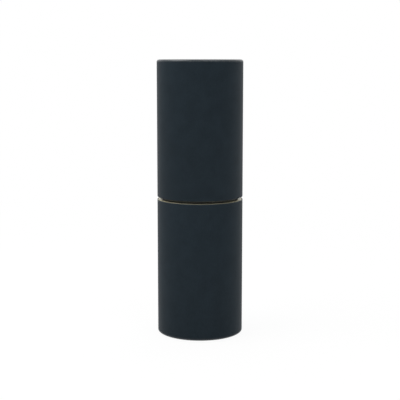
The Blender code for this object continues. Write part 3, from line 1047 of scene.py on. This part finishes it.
def balm_stick(material):
    """Stick of balm, with a domed tip and the slight sink that cooling leaves in its middle."""
    low, tip = foot("lip_balm"), top("lip_balm")
    shoulder = tip - DOME_HEIGHT
    dome = arc((0, shoulder), (BALM_RADIUS, DOME_HEIGHT), 0, 90, DOME_STEPS)
    outline = [(0, low), (BALM_RADIUS, low)]
    for radius, height in dome[:-1]:
        outline.append((radius, height - SINK_DEPTH * math.exp(-((radius / SINK_RADIUS) ** 2))))
    outline.append((0, tip - SINK_DEPTH))
    return made_object("balm_stick", spun(outline), material)


class BALM_TUBE_OT_wraps(bpy.types.Operator):
    """Wrap the base and the cap in printed paper, turned over each closed end's rim"""

    bl_idname = "balm_tube.wraps"
    bl_label = "Printed Wraps"

    def execute(self, context):
        settings = context.scene.balm_tube_paper
        material = printed_paper(settings)
        base = wrap("base_paper", BASE_MOUTH, foot("base_wrap"), settings.base_lap, settings, material)
        stand_for(base, "base_wrap")
        cap = wrap("cap_paper", CAP_MOUTH, CAP_TOP, settings.cap_lap, settings, material)
        stand_for(cap, "cap_wrap")
        return {"FINISHED"}


class BALM_TUBE_OT_facings(bpy.types.Operator):
    """Face both closed ends with a disc of the printed paper"""

    bl_idname = "balm_tube.facings"
    bl_label = "End Facings"

    def execute(self, context):
        material = printed_paper(context.scene.balm_tube_paper)
        stand_for(facing("foot_paper", "base_facing", False, material), "base_facing")
        stand_for(facing("top_paper", "cap_facing", True, material), "cap_facing")
        return {"FINISHED"}


class BALM_TUBE_OT_boards(bpy.types.Operator):
    """Make the board tubes of the base, cap, liner and neck, and both end discs"""

    bl_idname = "balm_tube.boards"
    bl_label = "Board Tubes and Discs"

    def execute(self, context):
        settings = context.scene.balm_tube_board
        material = cream_board(settings)
        base = board_tube("base_board", top("base_tube"), foot("base_tube"), settings, material)
        stand_for(base, "base_tube")
        cap = board_tube("cap_board", foot("cap_tube"), top("cap_tube"), settings, material)
        stand_for(cap, "cap_tube")
        stand_for(liner_tube(settings, material), "cap_liner")
        dark = dark_board(settings)
        neck = eased_tube("neck_board", "neck_sleeve", NECK_BORE, NECK_OUTER, BOARD_EASE, dark)
        stand_for(neck, "neck_sleeve")
        for name, node in (("foot_board", "base_disc"), ("top_board", "cap_disc")):
            disc = eased_tube(name, node, 0, DISC_RADIUS, DISC_EASE, material)
            stand_for(disc, node)
        return {"FINISHED"}


class BALM_TUBE_OT_mouldings(bpy.types.Operator):
    """Make the plug, the drive sleeve, the lift cam and the cup of the twist-up mechanism"""

    bl_idname = "balm_tube.mouldings"
    bl_label = "Twist-up Mechanism"

    def execute(self, context):
        material = white_moulding(context.scene.balm_tube_moulding)
        stand_for(plug_moulding(material), "base_plug")
        stand_for(drive_moulding(material), "drive_sleeve")
        stand_for(cam_moulding(material), "lift_cam")
        stand_for(cup_moulding(material), "balm_cup")
        return {"FINISHED"}


class BALM_TUBE_OT_balm(bpy.types.Operator):
    """Cast the stick of balm in its cup"""

    bl_idname = "balm_tube.balm"
    bl_label = "Balm"

    def execute(self, context):
        material = balm_wax(context.scene.balm_tube_wax)
        stand_for(balm_stick(material), "lip_balm")
        return {"FINISHED"}


def seen(wiring):
    """1 where a ray comes from the camera, or by way of gloss or glass, and 0 where it only lights."""
    path = wiring.add("ShaderNodeLightPath", output="Is Camera Ray")
    glossy = Value(wiring, path.socket.node.outputs["Is Glossy Ray"])
    through = Value(wiring, path.socket.node.outputs["Is Transmission Ray"])
    return wiring.maths("MINIMUM", path + glossy + through, 1.0)


def floor(settings):
    """Pale round floor. It is nearly white to the eye and still keeps the tube's shadow."""
    material = emptied_material("pale_floor")
    wiring = Wiring(material.node_tree)
    matt = wiring.add("ShaderNodeBsdfDiffuse", None, {"Color": opaque(settings.floor_colour)})
    white = wiring.add("ShaderNodeEmission", None, {"Color": (1, 1, 1, 1), "Strength": 1.0})
    place = wiring.add("ShaderNodeTexCoord", output="Object")
    away = wiring.add("ShaderNodeVectorMath", {"operation": "LENGTH"}, {0: place}, output="Value")
    glow_share = NEAR_GLOW + wiring.rise(away, FADE_START, FADE_END) * (1.0 - NEAR_GLOW)
    lit = wiring.add("ShaderNodeMixShader", None, {0: seen(wiring) * glow_share, 1: matt, 2: white})
    underside = wiring.add("ShaderNodeNewGeometry", output="Backfacing")
    clear = wiring.add("ShaderNodeBsdfTransparent")
    both = wiring.add("ShaderNodeMixShader", None, {0: underside, 1: lit, 2: clear})
    wiring.add("ShaderNodeOutputMaterial", None, {"Surface": both})
    shape = bmesh.new()
    bmesh.ops.create_circle(shape, cap_ends=True, segments=FLOOR_SIDES, radius=FLOOR_RADIUS)
    plate = made_object("floor", shape, material)


def world_light(settings):
    """Light from a white surround behind and above the tube. What is seen of it is white all round."""
    world = bpy.data.worlds.new("studio")
    world.use_nodes = True
    world.node_tree.nodes.clear()
    wiring = Wiring(world.node_tree)
    direction = wiring.add("ShaderNodeTexCoord", output="Generated")
    sideways = wiring.add("ShaderNodeSeparateXYZ", None, {0: direction})
    backwards = Value(wiring, sideways.socket.node.outputs["Y"])
    upwards = Value(wiring, sideways.socket.node.outputs["Z"])
    behind = wiring.rise(backwards, 0.1, 0.5)
    above = wiring.rise(upwards, 0.55, 0.9)
    share = wiring.maths("MAXIMUM", behind, above)
    light = settings.front + share * (settings.surround - settings.front)
    dim = wiring.add("ShaderNodeBackground", None, {"Color": (1, 1, 1, 1), "Strength": light})
    white = wiring.add("ShaderNodeBackground", None, {"Color": (1, 1, 1, 1), "Strength": 1.0})
    sky = wiring.add("ShaderNodeMixShader", None, {0: seen(wiring), 1: dim, 2: white})
    wiring.add("ShaderNodeOutputWorld", None, {"Surface": sky})
    bpy.context.scene.world = world


def softbox(name, power, azimuth, elevation, distance, size):
    """Rectangular lamp that faces the middle of the tube. Azimuth is clockwise from the camera's side."""
    lamp = bpy.data.lights.new(name, "AREA")
    lamp.shape = "RECTANGLE"
    lamp.size, lamp.size_y = size
    lamp.energy = power
    around, up = math.radians(azimuth), math.radians(elevation)
    away = Vector((math.sin(around) * math.cos(up), -math.cos(around) * math.cos(up), math.sin(up)))
    holder = placed(name, lamp)
    holder.location = away * distance + Vector((0, 0, CAP_TOP / 2))
    holder.rotation_euler = away.to_track_quat("Z", "Y").to_euler()


def camera(settings):
    """Camera where the photograph was taken from."""
    lens = bpy.data.cameras.new("camera")
    lens.lens = settings.lens
    lens.sensor_width = SENSOR_WIDTH
    lens.clip_start = NEAREST_SEEN
    holder = placed("camera", lens)
    holder.location = (0, -settings.camera_distance, settings.camera_height)
    holder.rotation_euler = (QUARTER_TURN - settings.camera_pitch, 0, 0)
    bpy.context.scene.camera = holder


class BALM_TUBE_OT_stage(bpy.types.Operator):
    """Set the floor, the lamps and the camera"""

    bl_idname = "balm_tube.stage"
    bl_label = "Studio"

    def execute(self, context):
        settings = context.scene.balm_tube_stage
        floor(settings)
        world_light(settings)
        for name, (power, *placing) in SOFTBOXES.items():
            softbox(name, getattr(settings, power), *placing)
        camera(settings)
        context.scene.view_settings.view_transform = "Standard"
        return {"FINISHED"}


class BALM_TUBE_PT_panel(bpy.types.Panel):
    """Lists the steps that make the tube, with the sizes and colours that each one reads"""

    bl_idname = "BALM_TUBE_PT_panel"
    bl_label = "Paper Lip Balm Tube"
    bl_space_type = "VIEW_3D"
    bl_region_type = "UI"
    bl_category = "Balm Tube"

    def draw(self, context):
        for settings, steps in PANEL_STEPS.items():
            box = self.layout.box()
            group = getattr(context.scene, settings)
            for name in group.__annotations__:
                box.prop(group, name)
            for step in steps:
                box.operator(step.bl_idname)


SETTINGS = {
    "balm_tube_paper": BalmTubePaper,
    "balm_tube_board": BalmTubeBoard,
    "balm_tube_moulding": BalmTubeMoulding,
    "balm_tube_wax": BalmTubeWax,
    "balm_tube_stage": BalmTubeStage,
}
PANEL_STEPS = {
    "balm_tube_paper": (BALM_TUBE_OT_wraps, BALM_TUBE_OT_facings),
    "balm_tube_board": (BALM_TUBE_OT_boards,),
    "balm_tube_moulding": (BALM_TUBE_OT_mouldings,),
    "balm_tube_wax": (BALM_TUBE_OT_balm,),
    "balm_tube_stage": (BALM_TUBE_OT_stage,),
}
STEPS = [step for steps in PANEL_STEPS.values() for step in steps]
CLASSES = [*SETTINGS.values(), *STEPS, BALM_TUBE_PT_panel]


def register():
    for one in CLASSES:
        bpy.utils.register_class(one)
    for name, group in SETTINGS.items():
        setattr(bpy.types.Scene, name, PointerProperty(type=group))


def unregister():
    for name in SETTINGS:
        delattr(bpy.types.Scene, name)
    for one in reversed(CLASSES):
        bpy.utils.unregister_class(one)


def main():
    """Makes every piece and the studio."""
    register()
    for step in STEPS:
        group, name = step.bl_idname.split(".")
        getattr(getattr(bpy.ops, group), name)()


if __name__ == "__main__":
    main()
